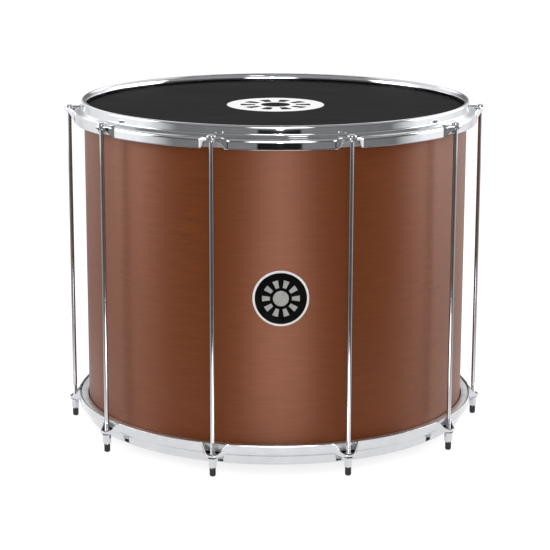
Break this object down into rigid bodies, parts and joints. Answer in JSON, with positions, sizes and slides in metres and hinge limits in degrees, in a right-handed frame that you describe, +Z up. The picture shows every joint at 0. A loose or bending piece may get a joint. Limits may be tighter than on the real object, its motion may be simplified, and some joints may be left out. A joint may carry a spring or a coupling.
{
  "type": "surdo",
  "caption": "Wide wooden bass drum with a black head at each end, chromed counter hoops drawn together by full-length tension rods, standing on rubber rod tips.",
  "frame": {"origin": "on the drum's axis, in the plane of the rubber tips that it stands on", "axes": "+Z up along the drum's axis, -Y out through the badge, +X to the right of one who faces the badge, through a tension rod"},
  "size_m": [0.6176, 0.5892, 0.4837],
  "materials": {
    "shell_wood": "stained brown veneer, satin lacquer",
    "hoop_chrome": "polished chrome on pressed steel",
    "rod_chrome": "polished chrome on steel rod",
    "nut_chrome": "chromed steel nut",
    "head_film": "black coated drum film, matte",
    "flesh_hoop_metal": "bare drawn aluminium",
    "black_rubber": "black moulded rubber",
    "badge_enamel": "black enamelled plate with a white ring"
  },
  "bodies": {
    "root": {"shell": "shell_wood", "shell_badge": "badge_enamel", "top_hoop": "hoop_chrome", "bottom_hoop": "hoop_chrome", "top_head_film": "head_film", "bottom_head_film": "head_film", "top_flesh_hoop": "flesh_hoop_metal", "bottom_flesh_hoop": "flesh_hoop_metal", "tension_rod_01": "rod_chrome", "rubber_tip_01": "black_rubber", "tension_rod_02": "rod_chrome", "rubber_tip_02": "black_rubber", "tension_rod_03": "rod_chrome", "rubber_tip_03": "black_rubber", "tension_rod_04": "rod_chrome", "rubber_tip_04": "black_rubber", "tension_rod_05": "rod_chrome", "rubber_tip_05": "black_rubber", "tension_rod_06": "rod_chrome", "rubber_tip_06": "black_rubber", "tension_rod_07": "rod_chrome", "rubber_tip_07": "black_rubber", "tension_rod_08": "rod_chrome", "rubber_tip_08": "black_rubber", "tension_rod_09": "rod_chrome", "rubber_tip_09": "black_rubber", "tension_rod_10": "rod_chrome", "rubber_tip_10": "black_rubber"},
    "washer_01": {"rod_washer_01": "nut_chrome"},
    "nut_01": {"tuning_nut_01": "nut_chrome"},
    "washer_02": {"rod_washer_02": "nut_chrome"},
    "nut_02": {"tuning_nut_02": "nut_chrome"},
    "washer_03": {"rod_washer_03": "nut_chrome"},
    "nut_03": {"tuning_nut_03": "nut_chrome"},
    "washer_04": {"rod_washer_04": "nut_chrome"},
    "nut_04": {"tuning_nut_04": "nut_chrome"},
    "washer_05": {"rod_washer_05": "nut_chrome"},
    "nut_05": {"tuning_nut_05": "nut_chrome"},
    "washer_06": {"rod_washer_06": "nut_chrome"},
    "nut_06": {"tuning_nut_06": "nut_chrome"},
    "washer_07": {"rod_washer_07": "nut_chrome"},
    "nut_07": {"tuning_nut_07": "nut_chrome"},
    "washer_08": {"rod_washer_08": "nut_chrome"},
    "nut_08": {"tuning_nut_08": "nut_chrome"},
    "washer_09": {"rod_washer_09": "nut_chrome"},
    "nut_09": {"tuning_nut_09": "nut_chrome"},
    "washer_10": {"rod_washer_10": "nut_chrome"},
    "nut_10": {"tuning_nut_10": "nut_chrome"}
  },
  "joints": [
    {"name": "washer_travel_01", "type": "slide", "parent": "root", "child": "washer_01", "axis": [0, 0, 1], "range_m": [-0.00125, 0]},
    {"name": "nut_turn_01", "type": "hinge", "parent": "washer_01", "child": "nut_01", "pos_m": [0.09301, -0.28627, 0.0195], "axis": [0, 0, 1], "range_deg": [-450, 0]},
    {"name": "washer_travel_02", "type": "slide", "parent": "root", "child": "washer_02", "axis": [0, 0, 1], "range_m": [-0.00125, 0]},
    {"name": "nut_turn_02", "type": "hinge", "parent": "washer_02", "child": "nut_02", "pos_m": [0.24351, -0.17692, 0.0195], "axis": [0, 0, 1], "range_deg": [-450, 0]},
    {"name": "washer_travel_03", "type": "slide", "parent": "root", "child": "washer_03", "axis": [0, 0, 1], "range_m": [-0.00125, 0]},
    {"name": "nut_turn_03", "type": "hinge", "parent": "washer_03", "child": "nut_03", "pos_m": [0.301, 0, 0.0195], "axis": [0, 0, 1], "range_deg": [-450, 0]},
    {"name": "washer_travel_04", "type": "slide", "parent": "root", "child": "washer_04", "axis": [0, 0, 1], "range_m": [-0.00125, 0]},
    {"name": "nut_turn_04", "type": "hinge", "parent": "washer_04", "child": "nut_04", "pos_m": [0.24351, 0.17692, 0.0195], "axis": [0, 0, 1], "range_deg": [-450, 0]},
    {"name": "washer_travel_05", "type": "slide", "parent": "root", "child": "washer_05", "axis": [0, 0, 1], "range_m": [-0.00125, 0]},
    {"name": "nut_turn_05", "type": "hinge", "parent": "washer_05", "child": "nut_05", "pos_m": [0.09301, 0.28627, 0.0195], "axis": [0, 0, 1], "range_deg": [-450, 0]},
    {"name": "washer_travel_06", "type": "slide", "parent": "root", "child": "washer_06", "axis": [0, 0, 1], "range_m": [-0.00125, 0]},
    {"name": "nut_turn_06", "type": "hinge", "parent": "washer_06", "child": "nut_06", "pos_m": [-0.09301, 0.28627, 0.0195], "axis": [0, 0, 1], "range_deg": [-450, 0]},
    {"name": "washer_travel_07", "type": "slide", "parent": "root", "child": "washer_07", "axis": [0, 0, 1], "range_m": [-0.00125, 0]},
    {"name": "nut_turn_07", "type": "hinge", "parent": "washer_07", "child": "nut_07", "pos_m": [-0.24351, 0.17692, 0.0195], "axis": [0, 0, 1], "range_deg": [-450, 0]},
    {"name": "washer_travel_08", "type": "slide", "parent": "root", "child": "washer_08", "axis": [0, 0, 1], "range_m": [-0.00125, 0]},
    {"name": "nut_turn_08", "type": "hinge", "parent": "washer_08", "child": "nut_08", "pos_m": [-0.301, 0, 0.0195], "axis": [0, 0, 1], "range_deg": [-450, 0]},
    {"name": "washer_travel_09", "type": "slide", "parent": "root", "child": "washer_09", "axis": [0, 0, 1], "range_m": [-0.00125, 0]},
    {"name": "nut_turn_09", "type": "hinge", "parent": "washer_09", "child": "nut_09", "pos_m": [-0.24351, -0.17692, 0.0195], "axis": [0, 0, 1], "range_deg": [-450, 0]},
    {"name": "washer_travel_10", "type": "slide", "parent": "root", "child": "washer_10", "axis": [0, 0, 1], "range_m": [-0.00125, 0]},
    {"name": "nut_turn_10", "type": "hinge", "parent": "washer_10", "child": "nut_10", "pos_m": [-0.09301, -0.28627, 0.0195], "axis": [0, 0, 1], "range_deg": [-450, 0]}
  ],
  "couplings": [
    {"joint": "washer_travel_01", "follows": "nut_turn_01", "m_per_rad": 0.00015915},
    {"joint": "washer_travel_02", "follows": "nut_turn_02", "m_per_rad": 0.00015915},
    {"joint": "washer_travel_03", "follows": "nut_turn_03", "m_per_rad": 0.00015915},
    {"joint": "washer_travel_04", "follows": "nut_turn_04", "m_per_rad": 0.00015915},
    {"joint": "washer_travel_05", "follows": "nut_turn_05", "m_per_rad": 0.00015915},
    {"joint": "washer_travel_06", "follows": "nut_turn_06", "m_per_rad": 0.00015915},
    {"joint": "washer_travel_07", "follows": "nut_turn_07", "m_per_rad": 0.00015915},
    {"joint": "washer_travel_08", "follows": "nut_turn_08", "m_per_rad": 0.00015915},
    {"joint": "washer_travel_09", "follows": "nut_turn_09", "m_per_rad": 0.00015915},
    {"joint": "washer_travel_10", "follows": "nut_turn_10", "m_per_rad": 0.00015915}
  ]
}
